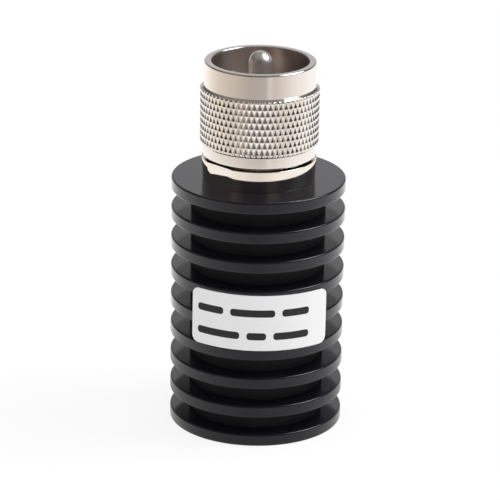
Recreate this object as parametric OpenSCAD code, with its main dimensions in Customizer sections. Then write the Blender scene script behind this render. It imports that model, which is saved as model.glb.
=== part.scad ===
// Coaxial dummy load: a finned heat sink with a screw-on plug connector.
// Millimetres, +Z up. The load stands on its flat end at z = 0, with its axis on Z.
// The label faces -Y.

/* [Heat sink] */
// Outside diameter of the round fins
fin_d = 29; // [26:0.5:40]
// Number of fins
fin_count = 9; // [8:1:14]
// Distance from one fin to the next
fin_pitch = 5.08; // [4.6:0.02:6]
// Thickness of one fin
fin_t = 2; // [1.2:0.1:2.6]
// Diameter of the core between the fins
core_d = 22.4; // [20.8:0.1:25]
// Bevel on the fin rims
fin_bevel = 0.2; // [0.1:0.05:0.4]

/* [Connector body] */
// Diameter of the flange that seats on the heat sink
flange_d = 19.05; // [18.6:0.05:20.5]
// Thickness of the flange
flange_t = 3.6; // [2.8:0.1:5]
// Distance across the two spanner flats
flats_w = 18.2; // [16:0.1:18.4]
// Turn of the first spanner flat from the label's side
flats_turn = -45; // [-90:5:90]
// Diameter of the neck that carries the coupling nut
neck_d = 13.4; // [13:0.1:14]
// Length of the neck from the flange to the tooth face
neck_l = 5.25; // [4.6:0.05:6.5]
// Outside diameter of the mating sleeve
sleeve_d = 11.9; // [11.2:0.1:12.3]
// Length of the mating sleeve in front of the tooth face
sleeve_l = 5; // [3:0.1:6]
// Bore of the mating sleeve
sleeve_bore_d = 9.6; // [9:0.1:10]
// Height of the two locking teeth
tooth_h = 0.9; // [0.5:0.1:1.5]
// Width of a locking tooth
tooth_w = 2; // [1.2:0.1:3]
// Diameter of the screwed spigot in the heat sink
spigot_d = 15; // [14.6:0.1:17]
// Length of the screwed spigot
spigot_l = 6.3; // [5:0.1:9]
// Diameter of the half-round tongue that carries the termination
tongue_d = 14; // [13:0.1:14.4]
// Length of the tongue behind the spigot
tongue_l = 14; // [13:0.1:17]
// Height of the front insulator's seat above the flange
seat_rise = 2.2; // [1.8:0.1:3]
// Thickness of the web between the two insulators
web_t = 2.4; // [1.5:0.1:3.5]
// Bore through the web
web_bore_d = 7; // [6:0.1:8]
// Bore behind the web, for the rear insulator
rear_bore_d = 8.4; // [8.2:0.1:10]
// Bevel on the flange's upper edge
flange_bevel = 0.25; // [0.1:0.05:0.5]

/* [Coupling nut] */
// Diameter of the plain band behind the knurl
tail_d = 18.8; // [17:0.05:19.2]
// Length of the plain band behind the knurl
tail_l = 1.95; // [1:0.05:4]
// Diameter over the knurl
knurl_d = 19.8; // [19.4:0.1:22]
// Length of the knurl
knurl_l = 9.45; // [6:0.05:12]
// Depth of the knurl
knurl_depth = 0.3; // [0.2:0.05:0.4]
// Diamonds around the knurl
knurl_count = 68; // [30:2:80]
// Length of one diamond along the axis
diamond_l = 2.17; // [1.8:0.01:4]
// Length of the bevel in front of the knurl
shoulder_l = 0.5; // [0.4:0.1:1.2]
// Diameter of the plain band at the mouth
rim_d = 18.5; // [17.6:0.1:19]
// Length of the plain band at the mouth
rim_l = 4.05; // [2:0.05:8]
// Diameter of the plain mouth in front of the thread
mouth_d = 16.1; // [15.9:0.05:16.6]
// Depth of the plain mouth
mouth_depth = 4; // [1:0.1:4.5]
// Inside diameter of the coupling thread
thread_d = 14.8; // [14.4:0.1:15.4]
// Thickness of the nut's back wall
back_t = 3.4; // [2.6:0.1:4.4]
// Bevel on the nut's two ends
nut_bevel = 0.25; // [0.1:0.05:0.4]

/* [Snap ring] */
// Wire diameter of the snap ring
wire_d = 0.9; // [0.6:0.05:1]
// Opening of the split ring, in degrees
ring_split = 24; // [10:1:60]

/* [Centre pin and insulators] */
// Diameter of the contact pin
pin_d = 3.95; // [3.8:0.01:4]
// Free length of the pin, from the insulator to the tip of its dome
pin_l = 11.15; // [8:0.05:14]
// Diameter of the pin inside the front insulator
stem_d = 3.4; // [2.6:0.1:3.6]
// Diameter of the pin's tail
pin_tail_d = 2; // [1.6:0.1:2.4]
// Length of the tail behind the rear insulator
pin_tail_l = 3.4; // [3:0.1:4]
// Length of the front insulator
front_insulator_l = 4.5; // [3:0.1:5.5]
// Length of the rear insulator
rear_insulator_l = 8; // [6.5:0.1:8.5]

/* [Termination] */
// Width of the ceramic substrate
substrate_w = 8; // [6:0.1:9]
// Length of the ceramic substrate
substrate_l = 10; // [8:0.1:11]
// Thickness of the ceramic substrate
substrate_t = 1; // [0.6:0.1:1.5]
// Width of the cover over the film
cover_w = 6; // [4:0.1:7]
// Length of the cover over the film
cover_l = 7; // [5:0.1:7.4]
// Thickness of the cover over the film
cover_t = 0.6; // [0.4:0.1:1]
// Width of the lead tab
tab_w = 1.4; // [1:0.1:1.6]
// Thickness of the lead tab
tab_t = 0.2; // [0.1:0.05:0.4]
// Length of the tab that lies on the substrate
tab_lap = 1.4; // [0.8:0.1:2]
// Depth of the slot in the tail that takes the tab
tab_slot = 2.1; // [1.5:0.1:2.5]

/* [Label] */
// Width of the label along its curve
label_w = 25.2; // [16:0.2:32]
// Height of the label
label_h = 9.7; // [8:0.1:14]
// Thickness of the label
label_t = 0.12; // [0.08:0.02:0.3]
// Height of the label's lower edge above the base
label_z = 17.05; // [5:0.05:24]
// Corner radius of the label
label_corner = 0.85; // [0.3:0.05:2]
// Turn of the label from the front
label_turn = 3.3; // [-20:0.1:20]

/* [Clearances] */
// Radial running clearance between neck and nut
run_gap = 0.05; // [0.02:0.01:0.1]
// Gap between the flange and the nut
nut_gap = 0.35; // [0.2:0.05:0.6]
// Room on each side of the snap ring in its groove
ring_side = 0.06; // [0.03:0.01:0.1]
// Room behind the snap ring, to close it for assembly
ring_room = 0.4; // [0.2:0.05:0.5]
// Room around the pin's tail, the substrate and the end of the tongue
inner_room = 0.5; // [0.3:0.1:1]

/* [Hidden] */
$fn = 96;

// Length by which a cutter runs past a face
past = 1;
// Depth by which joined shapes run into each other
sunk = 0.3;
// Depth of the nut's core under the floor of the knurl
core_under = 0.1;
// Distance from the knurl's front end down to its first peaks
first_peak = 0.1;

// Heights along the axis
sink_h = (fin_count - 1) * fin_pitch + fin_t;
flange_z = sink_h + flange_t;
tooth_z = flange_z + neck_l;
sleeve_z = tooth_z + sleeve_l;
seat_z = flange_z + seat_rise;
face_z = seat_z + front_insulator_l;
web_z = seat_z - web_t;
insulator_z = web_z - rear_insulator_l;
spigot_z = sink_h - spigot_l;
tongue_z = spigot_z - tongue_l;
pin_tail_z = insulator_z - pin_tail_l;
pin_tip_z = face_z + pin_l;
tail_room_z = pin_tail_z - inner_room;
nut_z = flange_z + nut_gap;
knurl_z = nut_z + tail_l;
shoulder_z = knurl_z + knurl_l;
rim_z = shoulder_z + shoulder_l;
mouth_z = rim_z + rim_l;
thread_z = nut_z + back_t;
ring_z = nut_z + back_t / 2;

// Radii worked out from the fits
neck_r = neck_d / 2;
nut_bore_r = neck_r + run_gap;
ring_r = neck_r + run_gap / 2;
knurl_r = knurl_d / 2;
rim_r = rim_d / 2;
tail_r = tail_d / 2;
// Rise of the bevel in front of the knurl for each millimetre of radius
shoulder_slope = shoulder_l / (knurl_r - rim_r);
// Half rows of diamonds that cover the knurl from its front end down into the tail, and up into the rim
knurl_rows = ceil(2 * (knurl_l + sunk) / diamond_l);
shoulder_rows = ceil(2 * (first_peak + shoulder_l + sunk * shoulder_slope) / diamond_l);
// Core of the nut under the knurl
knurl_core_r = knurl_r - knurl_depth - core_under;

// The tongue's flat face, which puts the lead tab on the axis
substrate_y = tab_t / 2;
tongue_y = substrate_y + substrate_t;
substrate_top_z = tail_room_z - inner_room;

BLACK = [0.06, 0.06, 0.065];
NICKEL = [0.80, 0.78, 0.74];
SPRING = [0.62, 0.62, 0.63];
PTFE = [0.93, 0.93, 0.90];
ALUMINA = [0.88, 0.88, 0.84];
COPPER = [0.80, 0.50, 0.32];
PAPER = [0.90, 0.90, 0.90];

// Outline of one fin whose underside is at height z
function fin_outline(z) = let (r = fin_d / 2, b = fin_bevel) [
    [core_d / 2, z],
    [r - b, z],
    [r, z + b],
    [r, z + fin_t - b],
    [r - b, z + fin_t],
    [core_d / 2, z + fin_t]
];

// Turned, finned heat sink with a blind bore for the connector
module heat_sink() {
    fins = [for (i = [0 : fin_count - 1]) each fin_outline(i * fin_pitch)];
    color(BLACK)
    difference() {
        rotate_extrude()
            polygon(concat([[0, 0]], fins, [[0, sink_h]]));
        translate([0, 0, spigot_z - inner_room])
            cylinder(d = spigot_d, h = spigot_l + inner_room + past);
        translate([0, 0, tongue_z - inner_room])
            cylinder(d = tongue_d, h = tongue_l + inner_room);
    }
}

// Turned outline of the connector body, from the spigot to the rim of the sleeve
function body_outline() = let (r = flange_d / 2, b = flange_bevel) [
    [0, spigot_z],
    [spigot_d / 2, spigot_z],
    [spigot_d / 2, sink_h],
    [r, sink_h],
    [r, flange_z - b],
    [r - b, flange_z],
    [neck_r, flange_z],
    [neck_r, tooth_z],
    [sleeve_d / 2, tooth_z],
    [sleeve_d / 2, sleeve_z],
    [0, sleeve_z]
];

// Half-round tongue behind the spigot
module tongue() {
    intersection() {
        translate([0, 0, tongue_z])
            cylinder(d = tongue_d, h = tongue_l + sunk);
        translate([-tongue_d, tongue_y, tongue_z - past])
            cube([2 * tongue_d, tongue_d, tongue_l + 2 * past]);
    }
}

// Two teeth that lock into the notches of the socket
module locking_teeth() {
    intersection() {
        translate([0, 0, tooth_z - sunk])
            cylinder(r = neck_r, h = tooth_h + sunk);
        translate([-neck_d, -tooth_w / 2, tooth_z - sunk])
            cube([2 * neck_d, tooth_w, tooth_h + sunk]);
    }
}

// Body of the plug, with its flange, neck, mating sleeve and tongue
module connector_body() {
    color(NICKEL)
    difference() {
        union() {
            rotate_extrude()
                polygon(body_outline());
            tongue();
            locking_teeth();
        }
        translate([0, 0, seat_z])
            cylinder(d = sleeve_bore_d, h = sleeve_z - seat_z + past);
        translate([0, 0, web_z - past])
            cylinder(d = web_bore_d, h = web_t + 2 * past);
        translate([0, 0, tail_room_z])
            cylinder(d = rear_bore_d, h = web_z - tail_room_z);
        snap_groove(ring_r - wire_d / 2 - ring_room, neck_r + past);
        for (side = [0, 180])
            rotate([0, 0, flats_turn + side])
                translate([-flange_d, -flange_d - flats_w / 2, sink_h - past])
                    cube([2 * flange_d, flange_d, flange_t + past]);
    }
}

// Ring-shaped groove for the snap ring, from one radius to another
module snap_groove(inner_r, outer_r) {
    groove_w = wire_d + 2 * ring_side;
    translate([0, 0, ring_z - groove_w / 2])
        difference() {
            cylinder(r = outer_r, h = groove_w);
            translate([0, 0, -past])
                cylinder(r = inner_r, h = groove_w + 2 * past);
        }
}

// Point on the knurl: half steps around, half diamonds up from the lowest row, at radius r
function knurl_point(step, row, r) =
    let (turn = step * 180 / knurl_count)
    [r * cos(turn), r * sin(turn), shoulder_z - first_peak + (row - knurl_rows) * diamond_l / 2];

// Drum of four-sided pyramids whose corners meet in the crossing grooves, longer than the knurl
module diamond_drum() {
    n = knurl_count;
    m = knurl_rows + shoulder_rows;
    floor_r = knurl_r - knurl_depth;
    points = [for (j = [0 : m], i = [0 : n - 1]) each [
        knurl_point(2 * i + j % 2, j, floor_r),
        knurl_point(2 * i + 1 + j % 2, j, knurl_r)
    ]];
    // Index of a groove crossing, and of the peak to the right of it
    function crossing(i, j) = 2 * (j * n + i % n);
    function peak(i, j) = crossing(i, j) + 1;
    upper = [for (j = [0 : m - 1], i = [0 : n - 1]) let (top = crossing(i + j % 2, j + 1)) each [
        [crossing(i, j), top, peak(i, j)],
        [top, crossing(i + 1, j), peak(i, j)]
    ]];
    lower = [for (j = [1 : m], i = [0 : n - 1]) let (bottom = crossing(i + j % 2, j - 1)) each [
        [crossing(i + 1, j), bottom, peak(i, j)],
        [bottom, crossing(i, j), peak(i, j)]
    ]];
    bottom_end = [for (i = [0 : 2 * n - 1]) i];
    top_end = [for (i = [2 * n - 1 : -1 : 0]) 2 * m * n + i];
    polyhedron(points, concat(upper, lower, [bottom_end, top_end]));
}

// Diamond knurl, with a 45 degree bevel down to the tail and a flatter one up to the rim
module knurl() {
    reach_r = knurl_r + sunk;
    front_z = rim_z + sunk * shoulder_slope;
    intersection() {
        rotate([0, 0, 180 / knurl_count])
            diamond_drum();
        rotate_extrude()
            polygon([
                [0, knurl_z - sunk],
                [tail_r - sunk, knurl_z - sunk],
                [reach_r, knurl_z + reach_r - tail_r],
                [reach_r, rim_z - (reach_r - rim_r) * shoulder_slope],
                [rim_r - sunk, front_z],
                [0, front_z]
            ]);
    }
}

// Turned outline of the coupling nut without its knurl
function nut_outline() = let (b = nut_bevel) [
    [0, nut_z],
    [tail_r - b, nut_z],
    [tail_r, nut_z + b],
    [tail_r, knurl_z + sunk / 2],
    [knurl_core_r, knurl_z + sunk],
    [knurl_core_r, shoulder_z - sunk],
    [rim_r, shoulder_z],
    [rim_r, mouth_z - b],
    [rim_r - b, mouth_z],
    [0, mouth_z]
];

// Knurled coupling nut that turns on the neck
module coupling_nut() {
    color(NICKEL)
    difference() {
        union() {
            rotate_extrude()
                polygon(nut_outline());
            knurl();
        }
        translate([0, 0, mouth_z - mouth_depth])
            cylinder(d = mouth_d, h = mouth_depth + past);
        translate([0, 0, thread_z])
            cylinder(d = thread_d, h = mouth_z - thread_z);
        translate([0, 0, nut_z - past])
            cylinder(r = nut_bore_r, h = back_t + 2 * past);
        snap_groove(nut_bore_r - past, ring_r + wire_d / 2);
    }
}

// Split wire ring that keeps the nut on the neck
module snap_ring() {
    color(SPRING)
    rotate([0, 0, ring_split / 2])
        translate([0, 0, ring_z])
            rotate_extrude(angle = 360 - ring_split)
                translate([ring_r, 0])
                    circle(d = wire_d, $fn = 32);
}

// Contact pin with a domed tip, a waist in the front insulator and a slotted tail
module centre_pin() {
    dome_z = pin_tip_z - pin_d / 2;
    color(NICKEL)
    difference() {
        union() {
            translate([0, 0, dome_z])
                sphere(d = pin_d);
            translate([0, 0, face_z])
                cylinder(d = pin_d, h = dome_z - face_z);
            translate([0, 0, seat_z - sunk])
                cylinder(d = stem_d, h = front_insulator_l + 2 * sunk);
            translate([0, 0, web_z])
                cylinder(d = pin_d, h = web_t);
            translate([0, 0, pin_tail_z])
                cylinder(d = pin_tail_d, h = rear_insulator_l + pin_tail_l + sunk);
        }
        translate([-pin_tail_d, -tab_t / 2, pin_tail_z - past])
            cube([2 * pin_tail_d, tab_t, tab_slot + past]);
    }
}

// Round insulator from height z up, between a bore and the pin
module bush(outer_d, inner_d, z, length) {
    translate([0, 0, z])
        difference() {
            cylinder(d = outer_d, h = length);
            translate([0, 0, -past])
                cylinder(d = inner_d, h = length + 2 * past);
        }
}

// Insulator in the mating sleeve
module front_insulator() {
    color(PTFE)
    bush(sleeve_bore_d, stem_d, seat_z, front_insulator_l);
}

// Insulator behind the web
module rear_insulator() {
    color(PTFE)
    bush(rear_bore_d, pin_tail_d, insulator_z, rear_insulator_l);
}

// Ceramic plate with the resistive film, seated on the tongue
module termination_substrate() {
    color(ALUMINA)
    translate([-substrate_w / 2, substrate_y, substrate_top_z - substrate_l])
        cube([substrate_w, substrate_t, substrate_l]);
}

// Ceramic cover over the film, behind the lead tab
module termination_cover() {
    cover_top_z = substrate_top_z - tab_lap - inner_room;
    color(ALUMINA)
    translate([-cover_w / 2, substrate_y - cover_t, cover_top_z - cover_l])
        cube([cover_w, cover_t, cover_l]);
}

// Flat lead from the substrate into the slot of the pin's tail
module lead_tab() {
    tab_z = substrate_top_z - tab_lap;
    color(COPPER)
    translate([-tab_w / 2, -tab_t / 2, tab_z])
        cube([tab_w, tab_t, pin_tail_z + tab_slot - tab_z]);
}

// Point of the label's outline, at s along the curve and z up
function label_point(s, z) =
    let (r = fin_d / 2)
    [r * sin(s / r * 180 / PI), z];

// Label wrapped over the rims of the fins
module label() {
    r = fin_d / 2;
    straight_w = label_w / 2 - label_corner;
    straight_h = label_h / 2 - label_corner;
    outline = [for (corner = [[1, 1, 0], [-1, 1, 90], [-1, -1, 180], [1, -1, 270]], a = [0 : 15 : 90])
        label_point(
            corner[0] * straight_w + label_corner * cos(corner[2] + a),
            label_z + label_h / 2 + corner[1] * straight_h + label_corner * sin(corner[2] + a)
        )
    ];
    color(PAPER)
    rotate([0, 0, label_turn])
        intersection() {
            translate([0, 0, label_z - past])
                difference() {
                    cylinder(r = r + label_t, h = label_h + 2 * past);
                    translate([0, 0, -past])
                        cylinder(r = r, h = label_h + 4 * past);
                }
            rotate([90, 0, 0])
                linear_extrude(height = r + label_t + past)
                    polygon(outline);
        }
}

heat_sink();
connector_body();
coupling_nut();
snap_ring();
centre_pin();
front_insulator();
rear_insulator();
termination_substrate();
termination_cover();
lead_tab();
label();
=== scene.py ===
"""Looks of a coaxial dummy load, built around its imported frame.

Sizes are in millimetres in the row frame, +Z up, and become metres where a mesh is made.
"""
import math

import bmesh
import bpy
from mathutils import Matrix, Vector


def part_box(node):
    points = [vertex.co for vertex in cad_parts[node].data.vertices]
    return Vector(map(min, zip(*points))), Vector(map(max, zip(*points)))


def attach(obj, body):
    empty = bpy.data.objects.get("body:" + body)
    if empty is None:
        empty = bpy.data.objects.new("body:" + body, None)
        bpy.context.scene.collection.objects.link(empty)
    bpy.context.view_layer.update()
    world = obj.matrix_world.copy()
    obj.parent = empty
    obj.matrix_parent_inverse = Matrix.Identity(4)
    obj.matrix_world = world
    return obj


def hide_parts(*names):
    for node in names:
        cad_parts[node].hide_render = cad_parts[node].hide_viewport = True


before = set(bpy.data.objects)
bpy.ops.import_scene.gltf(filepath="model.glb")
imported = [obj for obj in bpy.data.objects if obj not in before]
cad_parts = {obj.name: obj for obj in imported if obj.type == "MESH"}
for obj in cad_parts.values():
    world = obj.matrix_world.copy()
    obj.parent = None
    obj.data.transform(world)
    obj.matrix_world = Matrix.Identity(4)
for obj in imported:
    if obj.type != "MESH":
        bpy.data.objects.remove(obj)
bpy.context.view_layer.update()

MM = 0.001
TURN = 2 * math.pi
# Bend up to which a four-sided face counts as flat
FLAT_ENOUGH = 0.0001
# Distance from a rounding to the point that supports its shading, and the shortest side that gets one
SUPPORT = 0.03
LONG_SIDE = 0.7
# Points closer than this, in metres, become one
MERGE_DISTANCE = 1e-8
# Degrees between faces from which an edge is drawn sharp
SHARP_ANGLE = 30
KNURL_SHARP_ANGLE = 24
# Up or down share of a normal below which a face counts as upright
UPRIGHT = 0.5


def node_size(node):
    """Lowest height, highest height and half width of a CAD node, in millimetres."""
    low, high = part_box(node)
    return low[2] / MM, high[2] / MM, (high[0] - low[0]) / 2 / MM


# Sizes that the frame gives
_, SINK_TOP, FIN_R = node_size("heat_sink")
TONGUE_Z, SLEEVE_TOP, FLANGE_R = node_size("connector_body")
NUT_Z, MOUTH_Z, KNURL_R = node_size("coupling_nut")
RING_LOW, RING_HIGH, RING_OUTER_R = node_size("snap_ring")
PIN_TAIL_Z, PIN_TIP, PIN_R = node_size("centre_pin")
SEAT_Z, FACE_Z, SLEEVE_BORE_R = node_size("front_insulator")
_, WEB_Z, REAR_BORE_R = node_size("rear_insulator")
LABEL_Z, LABEL_TOP, _ = node_size("label")
RING_Z = (RING_LOW + RING_HIGH) / 2

# Heat sink
FIN_COUNT = 9
FIN_T = 2.0
FIN_PITCH = (SINK_TOP - FIN_T) / (FIN_COUNT - 1)
CORE_R = 11.2
FIN_EDGE = 0.28
# Reach of the dull black past the core, so that it takes in all of the core's faces
CORE_MARGIN = 0.05
SINK_SIDES = 256

# Connector body
FLANGE_TOP = SINK_TOP + 3.6
FLANGE_EDGE = 0.08
FLANGE_FOOT = 0.05
# The flange is this much smaller at its foot than at its top
FLANGE_TAPER = 0.14
FLAT_DISTANCE = 9.1
FLAT_ANGLES = (math.radians(225), math.radians(45))
NECK_R = 6.7
TOOTH_Z = FLANGE_TOP + 5.25
TOOTH_H = 0.9
TOOTH_W = 2.0
SLEEVE_R = 5.95
SLEEVE_EDGE = 0.2
SLEEVE_BORE_EDGE = 0.15
SPIGOT_R = 7.5
SPIGOT_Z = SINK_TOP - 6.3
TONGUE_R = 7.0
TONGUE_Y = 1.1
WEB_BORE_R = 3.5
INNER_ROOM = 0.5
TAIL_ROOM_Z = PIN_TAIL_Z - INNER_ROOM
GROOVE_HALF_W = 0.51
GROOVE_NECK_R = 5.875
BODY_SIDES = 360
TONGUE_STEPS = 48
COLLAR_STEPS = 32
TOOTH_STEPS = 8

# Coupling nut
NUT_BORE_R = 6.75
NUT_EDGE = 0.25
TAIL_R = 9.4
KNURL_Z = NUT_Z + 1.95
KNURL_DEPTH = 0.3
# Share of a diamond's half width that is groove floor
GROOVE_SHARE = 1 / 6
FIRST_PEAK = 0.1
KNURL_COUNT = 68
DIAMOND_L = 2.17
SHOULDER_Z = KNURL_Z + 9.45
RIM_Z = SHOULDER_Z + 0.5
RIM_R = 9.25
SHOULDER_SLOPE = (RIM_Z - SHOULDER_Z) / (KNURL_R - RIM_R)
MOUTH_R = 8.05
MOUTH_EDGE = 0.2
MOUTH_FLOOR_Z = MOUTH_Z - 4.0
THREAD_Z = NUT_Z + 3.4
THREAD_R = 7.4
THREAD_ROOT_R = 7.94
THREAD_PITCH = 25.4 / 24
THREAD_STEPS = 96
# Half widths of the thread's ridge at its foot and crest, as shares of the pitch
THREAD_FOOT = 0.46
THREAD_CREST = 0.125
# Depth of the ridge's foot in the nut's wall, room behind it, and height that is left at its ends
THREAD_SUNK = 0.06
THREAD_ROOM = 0.1
THREAD_END = 0.05
# Share of a turn over which each end of the ridge rises
THREAD_FADE = 0.25
# Rows and columns of the mesh for each diamond, and how much closer the rows are in the bevels
DIAMOND_STEPS = 12
BEVEL_FINENESS = 3
# Reach of the bore's painted shade and rougher finish past the mouth's wall
MOUTH_MARGIN = 0.02

# Centre pin
STEM_R = 1.7
PIN_TAIL_R = 1.0
TAB_HALF_T = 0.1
SLOT_TOP_Z = PIN_TAIL_Z + 2.1
PIN_SIDES = 128
PIN_STEPS = 24

# Label
LABEL_T = 0.12
LABEL_W = 24.15
# The paper is a little lower than the box of its solid
LABEL_TRIM = 0.1
LABEL_H = LABEL_TOP - LABEL_Z - LABEL_TRIM
LABEL_MIDDLE = (LABEL_TOP + LABEL_Z) / 2
LABEL_CORNER = 1.25
LABEL_TURN = math.radians(2.5)
LABEL_TILT = math.radians(-0.6)
# Height to which the label's ends lift off the rims
LABEL_LIFT = 0.25
LABEL_COLUMNS = 96
CORNER_ROWS = 8
# Plain bars of print: left end, right end and middle line on the label
PRINT_BARS = [
    (-10.9, -6.2, 1.7),
    (-5.0, 2.4, 1.7),
    (3.6, 8.4, 1.7),
    (-10.9, -3.4, -2.3),
    (-2.2, 1.0, -2.3),
    (2.2, 8.4, -2.3),
]
PRINT_H = 1.25
PRINT_CORNER = 0.4 * PRINT_H
PRINT_COLUMNS = 32
PRINT_PROUD = 0.012
PRINT_SUNK = 0.03

# Camera, found from the edges of the fins in the photograph
CAMERA_AT = Vector((0.0, -0.473777, 0.200308))
CAMERA_AIM = Vector((-0.0012657, 0.0, 0.029447))
CAMERA_ROLL = math.radians(0.848)
CAMERA_LENS = 216.64
SENSOR_W = 36.0
CLIP_START = 0.01

# Materials: range of a noise value that is used, and strength and depth in metres of the relief
NOISE_LOW = 0.3
NOISE_HIGH = 0.7
FINE_DEPTH = 0.00002
INK_DEPTH = 0.00001
METAL_BUMP = 0.03
ANODISED_BUMP = 0.05
GRAIN_BUMP = 0.15
# Grains per metre of the patches on metal and on anodised aluminium, and of the latter's turning marks
METAL_PATCHES = 160
ANODISED_PATCHES = 220
ANODISED_MARKS = 5000
GLOSSY_IOR = 1.4
DULL_IOR = 1.25
COAT_IOR = 1.6
COAT_ROUGHNESS = 0.12

# Light: level of the even sky, and the studio as polished surfaces see it
SKY_LEVEL = 0.84
FLOOR_COLOUR = (0.93, 0.93, 0.93)
FLOOR_WHITENESS = 0.85
FLOOR_ROUGHNESS = 0.9
FLOOR_R = 3.0
FLOOR_SIDES = 64
FLOOR_Z = -0.00002
# Walls of the studio, by degrees from the camera's side towards +X
STUDIO_WALLS = [
    (-180, (0.50, 0.50, 0.51)),
    (-134, (0.48, 0.47, 0.47)),
    (-107, (0.26, 0.25, 0.25)),
    (-66, (0.18, 0.165, 0.16)),
    (-40, (0.08, 0.07, 0.07)),
    (-24, (0.04, 0.035, 0.035)),
    (10, (0.04, 0.035, 0.035)),
    (18, (0.06, 0.055, 0.055)),
    (25, (0.20, 0.185, 0.18)),
    (38, (0.20, 0.185, 0.18)),
    (46, (0.12, 0.11, 0.11)),
    (66, (0.085, 0.08, 0.08)),
    (107, (0.16, 0.15, 0.15)),
    (134, (0.48, 0.47, 0.47)),
    (180, (0.50, 0.50, 0.51)),
]
# The walls higher up, which take over between these sines of the elevation
UPPER_START = 0.14
UPPER_FULL = 0.26
UPPER_WALLS = [
    (-180, (0.50, 0.50, 0.51)),
    (-171, (0.50, 0.50, 0.51)),
    (-158, (0.16, 0.15, 0.15)),
    (-130, (0.07, 0.065, 0.065)),
    (-75, (0.08, 0.07, 0.06)),
    (-48, (0.15, 0.12, 0.10)),
    (-30, (0.05, 0.045, 0.045)),
    (10, (0.04, 0.035, 0.035)),
    (22, (0.12, 0.11, 0.10)),
    (34, (0.11, 0.10, 0.10)),
    (48, (0.06, 0.055, 0.055)),
    (80, (0.08, 0.08, 0.08)),
    (130, (0.08, 0.08, 0.08)),
    (158, (0.16, 0.15, 0.15)),
    (171, (0.50, 0.50, 0.51)),
    (180, (0.50, 0.50, 0.51)),
]
# The ceiling, which takes over between these sines
CEILING_START = 0.45
CEILING_FULL = 0.85
STUDIO_CEILING = (0.23, 0.205, 0.195)
# Floor as polished surfaces see it, painted with light and shade, by degrees from the camera's side
# towards +X: at the object's foot (a painted shadow of the object, darkest behind it), near it and far
# off (painted shade in front, and a lighter painted stripe a little right of the front). One turns into
# the next between the distances below, in metres.
# Painted shadow of the object at its foot
FLOOR_CONTACT_SHADOW = [
    (-180, (0.15, 0.15, 0.15)),
    (-137, (0.35, 0.34, 0.33)),
    (-60, (0.75, 0.73, 0.71)),
    (0, (0.75, 0.70, 0.66)),
    (60, (0.75, 0.74, 0.73)),
    (137, (0.50, 0.50, 0.49)),
    (180, (0.15, 0.15, 0.15)),
]
# Painted shade in front of the object, near it
FLOOR_NEAR = [
    (-180, (1.0, 1.0, 1.0)),
    (-80, (1.0, 0.98, 0.96)),
    (-50, (0.93, 0.90, 0.87)),
    (0, (0.78, 0.73, 0.69)),
    (40, (0.98, 0.95, 0.93)),
    (80, (1.0, 1.0, 0.99)),
    (180, (1.0, 1.0, 1.0)),
]
# Painted shade in front of the object, far off, with a lighter painted stripe at 17 to 22 degrees
FLOOR_FAR = [
    (-180, (1.0, 1.0, 1.0)),
    (-135, (1.0, 0.97, 0.93)),
    (-90, (0.72, 0.64, 0.555)),
    (-50, (0.59, 0.52, 0.465)),
    (-20, (0.465, 0.415, 0.39)),
    (12, (0.48, 0.445, 0.415)),
    (17, (0.665, 0.63, 0.63)),
    (22, (0.665, 0.63, 0.62)),
    (28, (0.61, 0.555, 0.53)),
    (40, (0.675, 0.61, 0.575)),
    (75, (0.89, 0.835, 0.815)),
    (115, (1.0, 1.0, 0.98)),
    (180, (1.0, 1.0, 1.0)),
]
CONTACT_REACH = 0.018
NEAR_START = 0.060
NEAR_REACH = 0.140
FAR_START = 0.165
# Lamp: direction from the object, distance and size in metres, and power in watts
SOFTBOX = (0.65, 0.05, 0.76)
SOFTBOX_DISTANCE = 0.6
SOFTBOX_SIZE = 0.34
SOFTBOX_POWER = 2.3


# Outlines and meshes

def rounded(corners, steps=4):
    """Points (r, z) of an outline given by corners (r, z, radius); a radius of 0 stays sharp.

    A point on each long straight side of a rounding keeps that side's shading flat.
    """
    points = []
    for i, (r, z, radius) in enumerate(corners):
        here = Vector((r, z))
        if radius == 0:
            points.append(here)
            continue
        to_last = Vector(corners[i - 1][:2]) - here
        to_next = Vector(corners[(i + 1) % len(corners)][:2]) - here
        before = to_last.normalized()
        after = to_next.normalized()
        half = before.angle(after) / 2
        reach = radius / math.tan(half)
        centre = here + (before + after).normalized() * radius / math.sin(half)
        start = (here + before * reach - centre).normalized()
        end = (here + after * reach - centre).normalized()
        if to_last.length > LONG_SIDE + reach:
            points.append(here + before * (reach + SUPPORT))
        points.extend(centre + start.slerp(end, k / steps) * radius for k in range(steps + 1))
        if to_next.length > LONG_SIDE + reach:
            points.append(here + after * (reach + SUPPORT))
    return points


def circle(r, z, count):
    """Ring of points at height z."""
    angles = [i * TURN / count for i in range(count)]
    return [(r * math.cos(a), r * math.sin(a), z) for a in angles]


def skin(rings, closed):
    """Vertices and faces of the surface through rings, which closes on itself like a tyre if asked.

    A bent four-sided face is split along its lower diagonal, which keeps grooves straight.
    """
    verts = [point for ring in rings for point in ring]
    reach = [math.hypot(x, y) for x, y, z in verts]
    count = len(rings[0])
    faces = []
    for k in range(len(rings) if closed else len(rings) - 1):
        near = k * count
        far = (k + 1) % len(rings) * count
        for i in range(count):
            j = (i + 1) % count
            a, b, c, d = near + i, near + j, far + j, far + i
            bend = reach[a] + reach[c] - reach[b] - reach[d]
            if abs(bend) < FLAT_ENOUGH:
                faces.append((a, b, c, d))
            elif bend < 0:
                faces.extend([(a, b, c), (a, c, d)])
            else:
                faces.extend([(a, b, d), (b, c, d)])
    return verts, faces


def lathe(corners, count, closed=True):
    """Turned shape from an outline of corners (r, z, radius)."""
    rings = [circle(point.x, point.y, count) for point in rounded(corners)]
    return skin(rings, closed)


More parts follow.
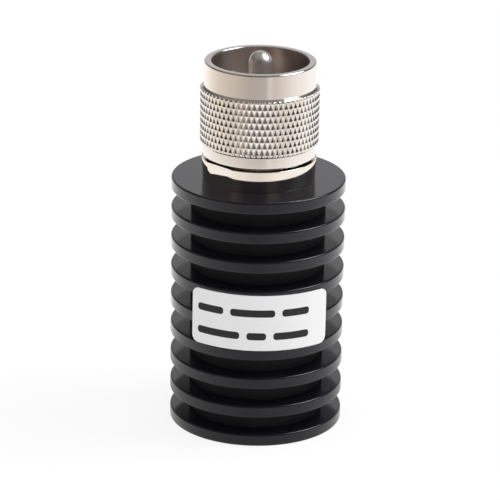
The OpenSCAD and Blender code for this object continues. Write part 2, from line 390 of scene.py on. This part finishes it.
def prism(outline, low, high):
    """Straight shape with the outline (x, y) from one height to another."""
    count = len(outline)
    verts = [(x, y, low) for x, y in outline] + [(x, y, high) for x, y in outline]
    faces = [tuple(range(count)), tuple(range(count, 2 * count))]
    for i in range(count):
        j = (i + 1) % count
        faces.append((i, j, count + j, count + i))
    return verts, faces


def arc(r, start, end, steps):
    """Points (x, y) on a circle from one angle to another."""
    angles = [start + (end - start) * k / steps for k in range(steps + 1)]
    return [(r * math.cos(a), r * math.sin(a)) for a in angles]


def together(*shells):
    """One list of vertices and one of faces for several shells."""
    verts = []
    faces = []
    for shell_verts, shell_faces in shells:
        first = len(verts)
        verts.extend(shell_verts)
        faces.extend(tuple(first + i for i in face) for face in shell_faces)
    return verts, faces


def make_piece(name, shape, material, body, sharp=SHARP_ANGLE, lining=None, lining_r=0):
    """Piece of the object from a shape in millimetres, riding on a body.

    A lining covers its upright faces up to a radius.
    """
    verts, faces = shape
    mesh = bpy.data.meshes.new(name)
    mesh.from_pydata([Vector(v) * MM for v in verts], [], faces)
    work = bmesh.new()
    work.from_mesh(mesh)
    bmesh.ops.remove_doubles(work, verts=work.verts, dist=MERGE_DISTANCE)
    bmesh.ops.recalc_face_normals(work, faces=work.faces)
    work.to_mesh(mesh)
    work.free()
    mesh.shade_smooth()
    mesh.set_sharp_from_angle(angle=math.radians(sharp))
    mesh.materials.append(material)
    if lining:
        mesh.materials.append(lining)
        for face in mesh.polygons:
            inside = face.center.xy.length < lining_r * MM
            face.material_index = int(inside and abs(face.normal.z) < UPRIGHT)
    piece = bpy.data.objects.new(name, mesh)
    bpy.context.scene.collection.objects.link(piece)
    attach(piece, body)
    return piece


# Materials

def start_material(name):
    """New node material, with its nodes, links and shader."""
    material = bpy.data.materials.new(name)
    material.use_nodes = True
    tree = material.node_tree
    return material, tree.nodes, tree.links, tree.nodes["Principled BSDF"]


def add_node(nodes, kind, **settings):
    """New node with its properties set."""
    node = nodes.new(kind)
    for key, value in settings.items():
        setattr(node, key, value)
    return node


def object_noise(nodes, links, scale, detail=3.0):
    """Noise in the object's own space, with its grain 1 / scale metres long."""
    place = add_node(nodes, "ShaderNodeTexCoord")
    noise = add_node(nodes, "ShaderNodeTexNoise")
    noise.inputs["Scale"].default_value = scale
    noise.inputs["Detail"].default_value = detail
    links.new(place.outputs["Object"], noise.inputs["Vector"])
    return noise.outputs["Fac"]


def turning_marks(nodes, links, scale, detail=2.0):
    """Noise that only changes with radius and height, like the marks of a lathe tool."""
    place = add_node(nodes, "ShaderNodeTexCoord")
    flat = add_node(nodes, "ShaderNodeVectorMath", operation="MULTIPLY")
    flat.inputs[1].default_value = (1, 1, 0)
    radius = add_node(nodes, "ShaderNodeVectorMath", operation="LENGTH")
    split = add_node(nodes, "ShaderNodeSeparateXYZ")
    join = add_node(nodes, "ShaderNodeCombineXYZ")
    noise = add_node(nodes, "ShaderNodeTexNoise")
    noise.noise_dimensions = "2D"
    noise.inputs["Scale"].default_value = scale
    noise.inputs["Detail"].default_value = detail
    links.new(place.outputs["Object"], flat.inputs[0])
    links.new(flat.outputs["Vector"], radius.inputs[0])
    links.new(place.outputs["Object"], split.inputs[0])
    links.new(radius.outputs["Value"], join.inputs["X"])
    links.new(split.outputs["Z"], join.inputs["Y"])
    links.new(join.outputs["Vector"], noise.inputs["Vector"])
    return noise.outputs["Fac"]


def ranged(nodes, links, value, low, high):
    """A noise value spread from low to high."""
    spread = add_node(nodes, "ShaderNodeMapRange")
    spread.inputs["From Min"].default_value = NOISE_LOW
    spread.inputs["From Max"].default_value = NOISE_HIGH
    spread.inputs["To Min"].default_value = low
    spread.inputs["To Max"].default_value = high
    links.new(value, spread.inputs["Value"])
    return spread.outputs["Result"]


def blended(nodes, links, value, first, second):
    """Colour between two colours, by a noise value."""
    mix = add_node(nodes, "ShaderNodeMix", data_type="RGBA")
    mix.inputs["A"].default_value = (*first, 1)
    mix.inputs["B"].default_value = (*second, 1)
    links.new(ranged(nodes, links, value, 0, 1), mix.inputs["Factor"])
    return mix.outputs["Result"]


def bumped(nodes, links, shader, value, strength, depth):
    """Relief on the shader, depth in metres."""
    bump = add_node(nodes, "ShaderNodeBump")
    bump.inputs["Strength"].default_value = strength
    bump.inputs["Distance"].default_value = depth
    links.new(value, bump.inputs["Height"])
    links.new(bump.outputs["Normal"], shader.inputs["Normal"])


def turned_metal(name, light, dark, rough_low, rough_high, grain, stretch=0.3):
    """Bright turned metal, with fine marks around its axis that stretch its reflections."""
    material, nodes, links, shader = start_material(name)
    shader.inputs["Metallic"].default_value = 1
    shader.inputs["Anisotropic"].default_value = stretch
    shader.inputs["Anisotropic Rotation"].default_value = 0.25
    around = add_node(nodes, "ShaderNodeTangent", direction_type="RADIAL", axis="Z")
    links.new(around.outputs["Tangent"], shader.inputs["Tangent"])
    patches = object_noise(nodes, links, METAL_PATCHES)
    links.new(blended(nodes, links, patches, light, dark), shader.inputs["Base Color"])
    marks = turning_marks(nodes, links, grain)
    links.new(ranged(nodes, links, marks, rough_low, rough_high), shader.inputs["Roughness"])
    bumped(nodes, links, shader, marks, METAL_BUMP, FINE_DEPTH)
    return material


def black_anodised(name, colour, other, rough_low, rough_high, glossy):
    """Black anodised aluminium with faint turning marks, and a gloss at grazing views if asked."""
    material, nodes, links, shader = start_material(name)
    patches = object_noise(nodes, links, ANODISED_PATCHES, 4)
    links.new(blended(nodes, links, patches, colour, other), shader.inputs["Base Color"])
    shader.inputs["IOR"].default_value = GLOSSY_IOR if glossy else DULL_IOR
    if glossy:
        view = add_node(nodes, "ShaderNodeLayerWeight")
        links.new(view.outputs["Facing"], shader.inputs["Coat Weight"])
        shader.inputs["Coat IOR"].default_value = COAT_IOR
        shader.inputs["Coat Roughness"].default_value = COAT_ROUGHNESS
    marks = turning_marks(nodes, links, ANODISED_MARKS)
    links.new(ranged(nodes, links, marks, rough_low, rough_high), shader.inputs["Roughness"])
    bumped(nodes, links, shader, marks, ANODISED_BUMP, FINE_DEPTH)
    return material


def speckled(name, light, dark, scale, rough_low, rough_high, depth):
    """Matt stuff with a fine grain, such as paper, ink, ceramic or plastic."""
    material, nodes, links, shader = start_material(name)
    grain = object_noise(nodes, links, scale, 6)
    links.new(blended(nodes, links, grain, light, dark), shader.inputs["Base Color"])
    links.new(ranged(nodes, links, grain, rough_low, rough_high), shader.inputs["Roughness"])
    bumped(nodes, links, shader, grain, GRAIN_BUMP, depth)
    return material


# Pieces

def fin_corners(low):
    """Outline of one fin from the core out and back, at height low."""
    high = low + FIN_T
    return [
        (CORE_R, low, 0),
        (FIN_R, low, FIN_EDGE),
        (FIN_R, high, FIN_EDGE),
        (CORE_R, high, 0),
    ]


def heat_sink_shape():
    """Turned heat sink with its blind bore."""
    fins = []
    for i in range(FIN_COUNT):
        fins.extend(fin_corners(i * FIN_PITCH))
    bore = [
        (SPIGOT_R, SINK_TOP, 0),
        (SPIGOT_R, SPIGOT_Z - INNER_ROOM, 0),
        (TONGUE_R, SPIGOT_Z - INNER_ROOM, 0),
        (TONGUE_R, TONGUE_Z - INNER_ROOM, 0),
        (0, TONGUE_Z - INNER_ROOM, 0),
    ]
    return lathe([(0, 0, 0)] + fins + bore, SINK_SIDES, closed=False)


def flatted(points):
    """Ring of points cut by the two spanner flats, with a point on each corner of a flat."""
    r = math.hypot(points[0][0], points[0][1])
    if r <= FLAT_DISTANCE:
        return points
    angles = [math.atan2(y, x) for x, y, z in points]
    corner = math.acos(FLAT_DISTANCE / r)
    for flat in FLAT_ANGLES:
        for edge in (flat - corner, flat + corner):
            off = [abs(math.remainder(a - edge, TURN)) for a in angles]
            angles[off.index(min(off))] = edge
    cut = []
    for a, (x, y, z) in zip(angles, points):
        turn = min(abs(math.remainder(a - flat, TURN)) for flat in FLAT_ANGLES)
        reach = min(r, FLAT_DISTANCE / math.cos(turn)) if turn <= corner else r
        cut.append((reach * math.cos(a), reach * math.sin(a), z))
    return cut


def connector_body_shape():
    """Turned plug body with flats, locking teeth, and the half-round tongue behind its spigot."""
    corners = [
        (REAR_BORE_R, SPIGOT_Z, 0),
        (SPIGOT_R, SPIGOT_Z, 0),
        (SPIGOT_R, SINK_TOP, 0),
        (FLANGE_R - FLANGE_TAPER, SINK_TOP, FLANGE_FOOT),
        (FLANGE_R, FLANGE_TOP, FLANGE_EDGE),
        (NECK_R, FLANGE_TOP, 0),
        (NECK_R, RING_Z - GROOVE_HALF_W, 0),
        (GROOVE_NECK_R, RING_Z - GROOVE_HALF_W, 0),
        (GROOVE_NECK_R, RING_Z + GROOVE_HALF_W, 0),
        (NECK_R, RING_Z + GROOVE_HALF_W, 0),
        (NECK_R, TOOTH_Z, 0),
        (SLEEVE_R, TOOTH_Z, 0),
        (SLEEVE_R, SLEEVE_TOP, SLEEVE_EDGE),
        (SLEEVE_BORE_R, SLEEVE_TOP, SLEEVE_BORE_EDGE),
        (SLEEVE_BORE_R, SEAT_Z, 0),
        (WEB_BORE_R, SEAT_Z, 0),
        (WEB_BORE_R, WEB_Z, 0),
        (REAR_BORE_R, WEB_Z, 0),
    ]
    rings = [flatted(circle(point.x, point.y, BODY_SIDES)) for point in rounded(corners)]
    shells = [skin(rings, closed=True)]
    tooth_root = (SLEEVE_BORE_R + SLEEVE_R) / 2
    tooth_half = math.asin(TOOTH_W / 2 / NECK_R)
    for middle in (0, math.pi):
        side = 1 if middle == 0 else -1
        outline = arc(NECK_R, middle - tooth_half, middle + tooth_half, TOOTH_STEPS)
        outline += [(side * tooth_root, side * TOOTH_W / 2), (side * tooth_root, -side * TOOTH_W / 2)]
        shells.append(prism(outline, TOOTH_Z - TOOTH_H, TOOTH_Z + TOOTH_H))
    edge = math.asin(TONGUE_Y / TONGUE_R)
    inner_edge = math.asin(TONGUE_Y / REAR_BORE_R)
    tongue = arc(TONGUE_R, edge, math.pi - edge, TONGUE_STEPS)
    collar = tongue + arc(REAR_BORE_R, math.pi - inner_edge, inner_edge, COLLAR_STEPS)
    shells.append(prism(tongue, TONGUE_Z, TAIL_ROOM_Z))
    shells.append(prism(collar, TAIL_ROOM_Z, SPIGOT_Z))
    return together(*shells)


def knurl_ring(z, count):
    """Ring of the diamond knurl: pyramids between crossing grooves, cut by the bevels at both ends."""
    along = (z - SHOULDER_Z + FIRST_PEAK) / DIAMOND_L
    back_bevel = TAIL_R + z - KNURL_Z
    front_bevel = RIM_R + (RIM_Z - z) / SHOULDER_SLOPE
    ring = []
    for x, y, z in circle(1, z, count):
        around = math.atan2(y, x) / TURN * KNURL_COUNT
        first = around + along
        second = around - along
        rise = 2 * min(abs(first - round(first)), abs(second - round(second)))
        r = min(KNURL_R - KNURL_DEPTH * (1 - max(rise, GROOVE_SHARE)), back_bevel, front_bevel)
        ring.append((r * x, r * y, z))
    return ring


def knurl_rings(count):
    """Rings of the knurl from the tail to the rim, closer together in the bevels."""
    row_l = DIAMOND_L / DIAMOND_STEPS
    fine_l = row_l / BEVEL_FINENESS
    back_top = KNURL_Z + KNURL_R - TAIL_R
    top = SHOULDER_Z - FIRST_PEAK
    heights = [top - k * row_l for k in range(math.ceil((top - KNURL_Z) / row_l))]
    heights += [KNURL_Z + k * fine_l for k in range(math.ceil((back_top - KNURL_Z) / fine_l))]
    heights += [RIM_Z - k * fine_l for k in range(math.ceil((RIM_Z - SHOULDER_Z) / fine_l))]
    return [knurl_ring(z, count) for z in sorted(heights)]


def thread_ridge():
    """Helical ridge of the coupling thread, tapered at both ends, with its foot in the nut's wall."""
    foot_r = THREAD_ROOT_R + THREAD_SUNK
    foot = THREAD_PITCH * THREAD_FOOT
    crest = THREAD_PITCH * THREAD_CREST
    low = THREAD_Z + foot + THREAD_ROOM
    high = MOUTH_FLOOR_Z - foot
    count = round((high - low) / THREAD_PITCH * THREAD_STEPS)
    rings = []
    for k in range(count + 1):
        a = TURN * k / THREAD_STEPS
        z = low + THREAD_PITCH * k / THREAD_STEPS
        fade = min(1, min(k, count - k) / THREAD_STEPS / THREAD_FADE)
        crest_r = foot_r + (THREAD_R - foot_r) * (THREAD_END + (1 - THREAD_END) * fade)
        section = [(foot_r, -foot), (crest_r, -crest), (crest_r, crest), (foot_r, foot)]
        rings.append([(r * math.cos(a), r * math.sin(a), z + up) for r, up in section])
    verts = [point for section in rings for point in section]
    faces = [(0, 1, 2, 3), tuple(4 * count + i for i in range(4))]
    for k in range(count):
        for i in range(4):
            j = (i + 1) % 4
            faces.append((4 * k + i, 4 * k + j, 4 * k + 4 + j, 4 * k + 4 + i))
    return verts, faces


def coupling_nut_shape():
    """Knurled coupling nut with its thread."""
    count = KNURL_COUNT * DIAMOND_STEPS
    back = [
        (NUT_BORE_R, NUT_Z, 0),
        (TAIL_R, NUT_Z, NUT_EDGE),
        (TAIL_R, KNURL_Z, 0),
    ]
    front = [
        (RIM_R, RIM_Z, 0),
        (RIM_R, MOUTH_Z, NUT_EDGE),
        (MOUTH_R, MOUTH_Z, MOUTH_EDGE),
        (MOUTH_R, MOUTH_FLOOR_Z, 0),
        (THREAD_ROOT_R, MOUTH_FLOOR_Z, 0),
        (THREAD_ROOT_R, THREAD_Z, 0),
        (NUT_BORE_R, THREAD_Z, 0),
        (NUT_BORE_R, RING_Z + GROOVE_HALF_W, 0),
        (RING_OUTER_R, RING_Z + GROOVE_HALF_W, 0),
        (RING_OUTER_R, RING_Z - GROOVE_HALF_W, 0),
        (NUT_BORE_R, RING_Z - GROOVE_HALF_W, 0),
    ]
    rings = [circle(point.x, point.y, count) for point in rounded(back)[:-1]]
    rings += knurl_rings(count)
    rings += [circle(point.x, point.y, count) for point in rounded(front)[1:]]
    return together(skin(rings, closed=True), thread_ridge())


def centre_pin_shape():
    """Contact pin with a domed tip and a slotted tail."""
    corners = [
        (0, SLOT_TOP_Z, 0),
        (PIN_TAIL_R, SLOT_TOP_Z, 0),
        (PIN_TAIL_R, WEB_Z, 0),
        (PIN_R, WEB_Z, 0),
        (PIN_R, SEAT_Z, 0),
        (STEM_R, SEAT_Z, 0),
        (STEM_R, FACE_Z, 0),
        (PIN_R, FACE_Z, 0),
    ]
    for k in range(PIN_STEPS + 1):
        lift = math.pi / 2 * k / PIN_STEPS
        corners.append((PIN_R * math.cos(lift), PIN_TIP - PIN_R + PIN_R * math.sin(lift), 0))
    shells = [lathe(corners, PIN_SIDES, closed=False)]
    edge = math.asin(TAB_HALF_T / PIN_TAIL_R)
    for turn in (0, math.pi):
        half = arc(PIN_TAIL_R, turn + edge, turn + math.pi - edge, PIN_STEPS)
        shells.append(prism(half, PIN_TAIL_Z, SLOT_TOP_Z))
    return together(*shells)


def on_label(along, up, r):
    """Point along and up from the middle of the label, which is stuck on a little askew.

    It lies at radius r, and further out towards the ends, which lift off.
    """
    a = LABEL_TURN + (along * math.cos(LABEL_TILT) - up * math.sin(LABEL_TILT)) / FIN_R
    z = LABEL_MIDDLE + along * math.sin(LABEL_TILT) + up * math.cos(LABEL_TILT)
    r += LABEL_LIFT * (2 * along / LABEL_W) ** 4
    return r * math.sin(a), -r * math.cos(a), z


def curved_sheet(left, right, low, high, corner, inner_r, outer_r, columns):
    """Thin sheet on the label's curve, with round corners."""
    middle = (left + right) / 2
    level = (low + high) / 2
    half_w = (right - left) / 2
    half_h = (high - low) / 2
    bends = [math.pi / 2 * k / CORNER_ROWS for k in range(CORNER_ROWS + 1)]
    ends = [(half_h - corner * (1 - math.cos(b)), half_w - corner * (1 - math.sin(b))) for b in bends]
    rows = [(-up, reach) for up, reach in ends] + ends[::-1]
    verts = []
    for r in (inner_r, outer_r):
        for up, reach in rows:
            steps = [reach * (2 * i / columns - 1) for i in range(columns + 1)]
            verts.extend(on_label(middle + step, level + up, r) for step in steps)
    wide = columns + 1
    sheet = wide * len(rows)
    faces = []
    for k in range(len(rows) - 1):
        for i in range(columns):
            a = k * wide + i
            faces.append((a, a + 1, a + wide + 1, a + wide))
            faces.append((sheet + a, sheet + a + 1, sheet + a + wide + 1, sheet + a + wide))
    border = list(range(columns))
    border += [k * wide + columns for k in range(len(rows) - 1)]
    border += [(len(rows) - 1) * wide + i for i in range(columns, 0, -1)]
    border += [k * wide for k in range(len(rows) - 1, 0, -1)]
    for a, b in zip(border, border[1:] + border[:1]):
        faces.append((a, b, sheet + b, sheet + a))
    return verts, faces


def label_shape():
    """Label wrapped over the rims of the fins."""
    half_w = LABEL_W / 2
    half_h = LABEL_H / 2
    face_r = FIN_R + LABEL_T
    return curved_sheet(-half_w, half_w, -half_h, half_h, LABEL_CORNER, FIN_R, face_r, LABEL_COLUMNS)


def print_shape():
    """Two rows of plain round-ended bars on the label."""
    inner_r = FIN_R + LABEL_T - PRINT_SUNK
    outer_r = FIN_R + LABEL_T + PRINT_PROUD
    bars = []
    for left, right, middle in PRINT_BARS:
        low = middle - PRINT_H / 2
        high = middle + PRINT_H / 2
        bars.append(curved_sheet(left, right, low, high, PRINT_CORNER, inner_r, outer_r, PRINT_COLUMNS))
    return together(*bars)


# Stage

def add_camera():
    """Camera at the photograph's viewing angle."""
    data = bpy.data.cameras.new("camera")
    data.lens = CAMERA_LENS
    data.sensor_width = SENSOR_W
    data.clip_start = CLIP_START
    camera = bpy.data.objects.new("camera", data)
    forward = (CAMERA_AIM - CAMERA_AT).normalized()
    right = forward.cross(Vector((0, 0, 1))).normalized()
    up = right.cross(forward)
    rolled_right = right * math.cos(CAMERA_ROLL) + up * math.sin(CAMERA_ROLL)
    rolled_up = up * math.cos(CAMERA_ROLL) - right * math.sin(CAMERA_ROLL)
    turn = Matrix((rolled_right, rolled_up, -forward)).transposed()
    camera.matrix_world = Matrix.Translation(CAMERA_AT) @ turn.to_4x4()
    bpy.context.scene.collection.objects.link(camera)
    bpy.context.scene.camera = camera


def add_softbox(name, direction, distance, size, watts):
    """Square lamp that faces the object from a direction."""
    data = bpy.data.lights.new(name, "AREA")
    data.size = size
    data.energy = watts
    lamp = bpy.data.objects.new(name, data)
    towards = Vector(direction).normalized()
    lamp.location = towards * distance + Vector((0, 0, SINK_TOP * MM))
    lamp.rotation_euler = towards.to_track_quat("Z", "Y").to_euler()
    lamp.visible_camera = False
    bpy.context.scene.collection.objects.link(lamp)


def ramp_of(nodes, stops):
    """Colour ramp node with stops (place, colour)."""
    ramp = add_node(nodes, "ShaderNodeValToRGB")
    elements = ramp.color_ramp.elements
    elements.remove(elements[1])
    elements[0].position = stops[0][0]
    elements[0].color = (*stops[0][1], 1)
    for place, colour in stops[1:]:
        element = elements.new(place)
        element.color = (*colour, 1)
    return ramp


def bearing_of(nodes, links, vector):
    """Bearing of a vector: 0.5 on the camera's side, more towards +X."""
    split = add_node(nodes, "ShaderNodeSeparateXYZ")
    back = add_node(nodes, "ShaderNodeMath", operation="MULTIPLY")
    back.inputs[1].default_value = -1
    angle = add_node(nodes, "ShaderNodeMath", operation="ARCTAN2")
    share = add_node(nodes, "ShaderNodeMapRange")
    share.inputs["From Min"].default_value = -math.pi
    share.inputs["From Max"].default_value = math.pi
    links.new(vector, split.inputs[0])
    links.new(split.outputs["Y"], back.inputs[0])
    links.new(split.outputs["X"], angle.inputs[0])
    links.new(back.outputs["Value"], angle.inputs[1])
    links.new(angle.outputs["Value"], share.inputs["Value"])
    return share.outputs["Result"]


def colours_around(nodes, links, bearing, stops):
    """Colour at a bearing, from stops (degrees, colour)."""
    ramp = ramp_of(nodes, [(0.5 + degrees / 360, colour) for degrees, colour in stops])
    links.new(bearing, ramp.inputs["Fac"])
    return ramp.outputs["Color"]


def faded(nodes, links, value, start, end, first, second):
    """Colour that turns from a first into a second one as a value goes from start to end."""
    reach = add_node(nodes, "ShaderNodeMapRange", interpolation_type="SMOOTHSTEP")
    reach.inputs["From Min"].default_value = start
    reach.inputs["From Max"].default_value = end
    mix = add_node(nodes, "ShaderNodeMix", data_type="RGBA")
    links.new(value, reach.inputs["Value"])
    links.new(reach.outputs["Result"], mix.inputs["Factor"])
    links.new(first, mix.inputs["A"])
    links.new(second, mix.inputs["B"])
    return mix.outputs["Result"]


def add_world():
    """Even soft sky; polished surfaces see a dim studio that is brighter behind the object."""
    world = bpy.data.worlds.new("studio")
    bpy.context.scene.world = world
    world.use_nodes = True
    nodes = world.node_tree.nodes
    links = world.node_tree.links
    sky = nodes["Background"]
    sky.inputs["Color"].default_value = (SKY_LEVEL, SKY_LEVEL, SKY_LEVEL, 1)
    place = add_node(nodes, "ShaderNodeTexCoord")
    split = add_node(nodes, "ShaderNodeSeparateXYZ")
    bearing = bearing_of(nodes, links, place.outputs["Generated"])
    height = add_node(nodes, "ShaderNodeMapRange", interpolation_type="SMOOTHSTEP")
    height.inputs["From Min"].default_value = CEILING_START
    height.inputs["From Max"].default_value = CEILING_FULL
    walls = add_node(nodes, "ShaderNodeMix", data_type="RGBA")
    walls.inputs["B"].default_value = (*STUDIO_CEILING, 1)
    studio = add_node(nodes, "ShaderNodeBackground")
    links.new(place.outputs["Generated"], split.inputs[0])
    links.new(split.outputs["Z"], height.inputs["Value"])
    links.new(height.outputs["Result"], walls.inputs["Factor"])
    low = colours_around(nodes, links, bearing, STUDIO_WALLS)
    high = colours_around(nodes, links, bearing, UPPER_WALLS)
    sides = faded(nodes, links, split.outputs["Z"], UPPER_START, UPPER_FULL, low, high)
    links.new(sides, walls.inputs["A"])
    links.new(walls.outputs["Result"], studio.inputs["Color"])
    white = add_node(nodes, "ShaderNodeBackground")
    white.inputs["Color"].default_value = (1, 1, 1, 1)
    path = add_node(nodes, "ShaderNodeLightPath")
    polished = add_node(nodes, "ShaderNodeMixShader")
    links.new(path.outputs["Is Glossy Ray"], polished.inputs["Fac"])
    links.new(sky.outputs["Background"], polished.inputs[1])
    links.new(studio.outputs["Background"], polished.inputs[2])
    seen = add_node(nodes, "ShaderNodeMixShader")
    links.new(path.outputs["Is Camera Ray"], seen.inputs["Fac"])
    links.new(polished.outputs["Shader"], seen.inputs[1])
    links.new(white.outputs["Background"], seen.inputs[2])
    links.new(seen.outputs["Shader"], nodes["World Output"].inputs["Surface"])


def floor_material():
    """Pale floor that looks white to the camera and keeps the shadow.

    Polished surfaces see painted shade on it instead: a painted shadow at the object's foot and painted
    shade in front.
    """
    material, nodes, links, shader = start_material("floor")
    shader.inputs["Base Color"].default_value = (*FLOOR_COLOUR, 1)
    shader.inputs["Roughness"].default_value = FLOOR_ROUGHNESS
    place = add_node(nodes, "ShaderNodeTexCoord")
    bearing = bearing_of(nodes, links, place.outputs["Object"])
    distance = add_node(nodes, "ShaderNodeVectorMath", operation="LENGTH")
    links.new(place.outputs["Object"], distance.inputs[0])
    # Painted shadow at the object's foot, and painted shade near it and far off in front
    contact = colours_around(nodes, links, bearing, FLOOR_CONTACT_SHADOW)
    near = colours_around(nodes, links, bearing, FLOOR_NEAR)
    far = colours_around(nodes, links, bearing, FLOOR_FAR)
    around = faded(nodes, links, distance.outputs["Value"], CONTACT_REACH, NEAR_START, contact, near)
    around = faded(nodes, links, distance.outputs["Value"], NEAR_REACH, FAR_START, around, far)
    # What polished surfaces see of the floor: a glow with the painted shadow and shade in it
    painted_floor_shade = add_node(nodes, "ShaderNodeEmission")
    links.new(around, painted_floor_shade.inputs["Color"])
    white = add_node(nodes, "ShaderNodeEmission")
    white.inputs["Color"].default_value = (1, 1, 1, 1)
    bright = add_node(nodes, "ShaderNodeMixShader")
    bright.inputs["Fac"].default_value = FLOOR_WHITENESS
    links.new(shader.outputs["BSDF"], bright.inputs[1])
    links.new(white.outputs["Emission"], bright.inputs[2])
    path = add_node(nodes, "ShaderNodeLightPath")
    seen = add_node(nodes, "ShaderNodeMixShader")
    links.new(path.outputs["Is Camera Ray"], seen.inputs["Fac"])
    links.new(shader.outputs["BSDF"], seen.inputs[1])
    links.new(bright.outputs["Shader"], seen.inputs[2])
    polished = add_node(nodes, "ShaderNodeMixShader")
    links.new(path.outputs["Is Glossy Ray"], polished.inputs["Fac"])
    links.new(seen.outputs["Shader"], polished.inputs[1])
    links.new(painted_floor_shade.outputs["Emission"], polished.inputs[2])
    links.new(polished.outputs["Shader"], nodes["Material Output"].inputs["Surface"])
    return material


def add_floor():
    """Round floor under the object."""
    work = bmesh.new()
    bmesh.ops.create_circle(work, cap_ends=True, segments=FLOOR_SIDES, radius=FLOOR_R)
    mesh = bpy.data.meshes.new("floor")
    work.to_mesh(mesh)
    work.free()
    mesh.materials.append(floor_material())
    floor = bpy.data.objects.new("floor", mesh)
    floor.location.z = FLOOR_Z
    bpy.context.scene.collection.objects.link(floor)


add_camera()
add_world()
add_floor()
add_softbox("softbox_right", SOFTBOX, SOFTBOX_DISTANCE, SOFTBOX_SIZE, SOFTBOX_POWER)

# Metals: light and dark colour, lowest and highest roughness, turning marks per metre, and stretch
NICKEL = turned_metal("nickel_plate", (0.95, 0.905, 0.86), (0.91, 0.865, 0.815), 0.08, 0.15, 4000)
BRIGHT_NICKEL = turned_metal("bright_nickel", (0.93, 0.87, 0.80), (0.90, 0.84, 0.77), 0.03, 0.07, 1500, 0)
# Inside of the nut: rougher nickel, with painted shade, its colour much darker and browner than the
# nickel's
SHADED_BORE_NICKEL = turned_metal("bore_nickel_painted_shade", (0.60, 0.51, 0.47), (0.52, 0.44, 0.40), 0.28, 0.40, 3000, 0.8)
SATIN_SILVER = turned_metal("satin_silver", (0.97, 0.95, 0.93), (0.92, 0.90, 0.87), 0.30, 0.38, 4000)
ANODISED = black_anodised(
    "black_anodised", (0.0050, 0.0050, 0.0090), (0.0072, 0.0072, 0.0115), 0.15, 0.21, glossy=True)
MATT_BLACK = black_anodised(
    "matt_black", (0.010, 0.010, 0.012), (0.014, 0.014, 0.016), 0.55, 0.65, glossy=False)
PAPER = speckled("label_paper", (0.80, 0.80, 0.80), (0.75, 0.75, 0.75), 6000, 0.35, 0.5, FINE_DEPTH)
INK = speckled("label_ink", (0.010, 0.010, 0.012), (0.022, 0.022, 0.024), 6000, 0.6, 0.75, INK_DEPTH)
PTFE = speckled("insulator", (0.90, 0.90, 0.87), (0.86, 0.86, 0.83), 3000, 0.4, 0.55, FINE_DEPTH)
ALUMINA = speckled("alumina", (0.88, 0.88, 0.84), (0.80, 0.80, 0.75), 5000, 0.6, 0.8, FINE_DEPTH)
COPPER = turned_metal("copper", (0.80, 0.48, 0.32), (0.72, 0.40, 0.26), 0.25, 0.4, 4000)
SPRING = turned_metal("spring_steel", (0.55, 0.55, 0.56), (0.48, 0.48, 0.49), 0.25, 0.4, 4000)

sink = make_piece(
    "finned_body", heat_sink_shape(), ANODISED, "load",
    lining=MATT_BLACK, lining_r=CORE_R + CORE_MARGIN)
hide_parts("heat_sink")
plug = make_piece("plug_body", connector_body_shape(), BRIGHT_NICKEL, "load")
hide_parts("connector_body")
# The nut's inner upright faces get the darker nickel: painted shade in its bore
nut = make_piece(
    "knurled_nut", coupling_nut_shape(), NICKEL, "nut",
    sharp=KNURL_SHARP_ANGLE, lining=SHADED_BORE_NICKEL, lining_r=MOUTH_R + MOUTH_MARGIN)
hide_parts("coupling_nut")
pin = make_piece("contact_pin", centre_pin_shape(), SATIN_SILVER, "load")
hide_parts("centre_pin")
label = make_piece("paper_label", label_shape(), PAPER, "load")
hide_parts("label")
make_piece("label_print", print_shape(), INK, "load")

CAD_LOOKS = {
    "snap_ring": SPRING,
    "front_insulator": PTFE,
    "rear_insulator": PTFE,
    "termination_substrate": ALUMINA,
    "termination_cover": ALUMINA,
    "lead_tab": COPPER,
}
for node_name, look in CAD_LOOKS.items():
    for material_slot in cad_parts[node_name].material_slots:
        material_slot.material = look

bpy.context.scene.view_settings.view_transform = "Standard"
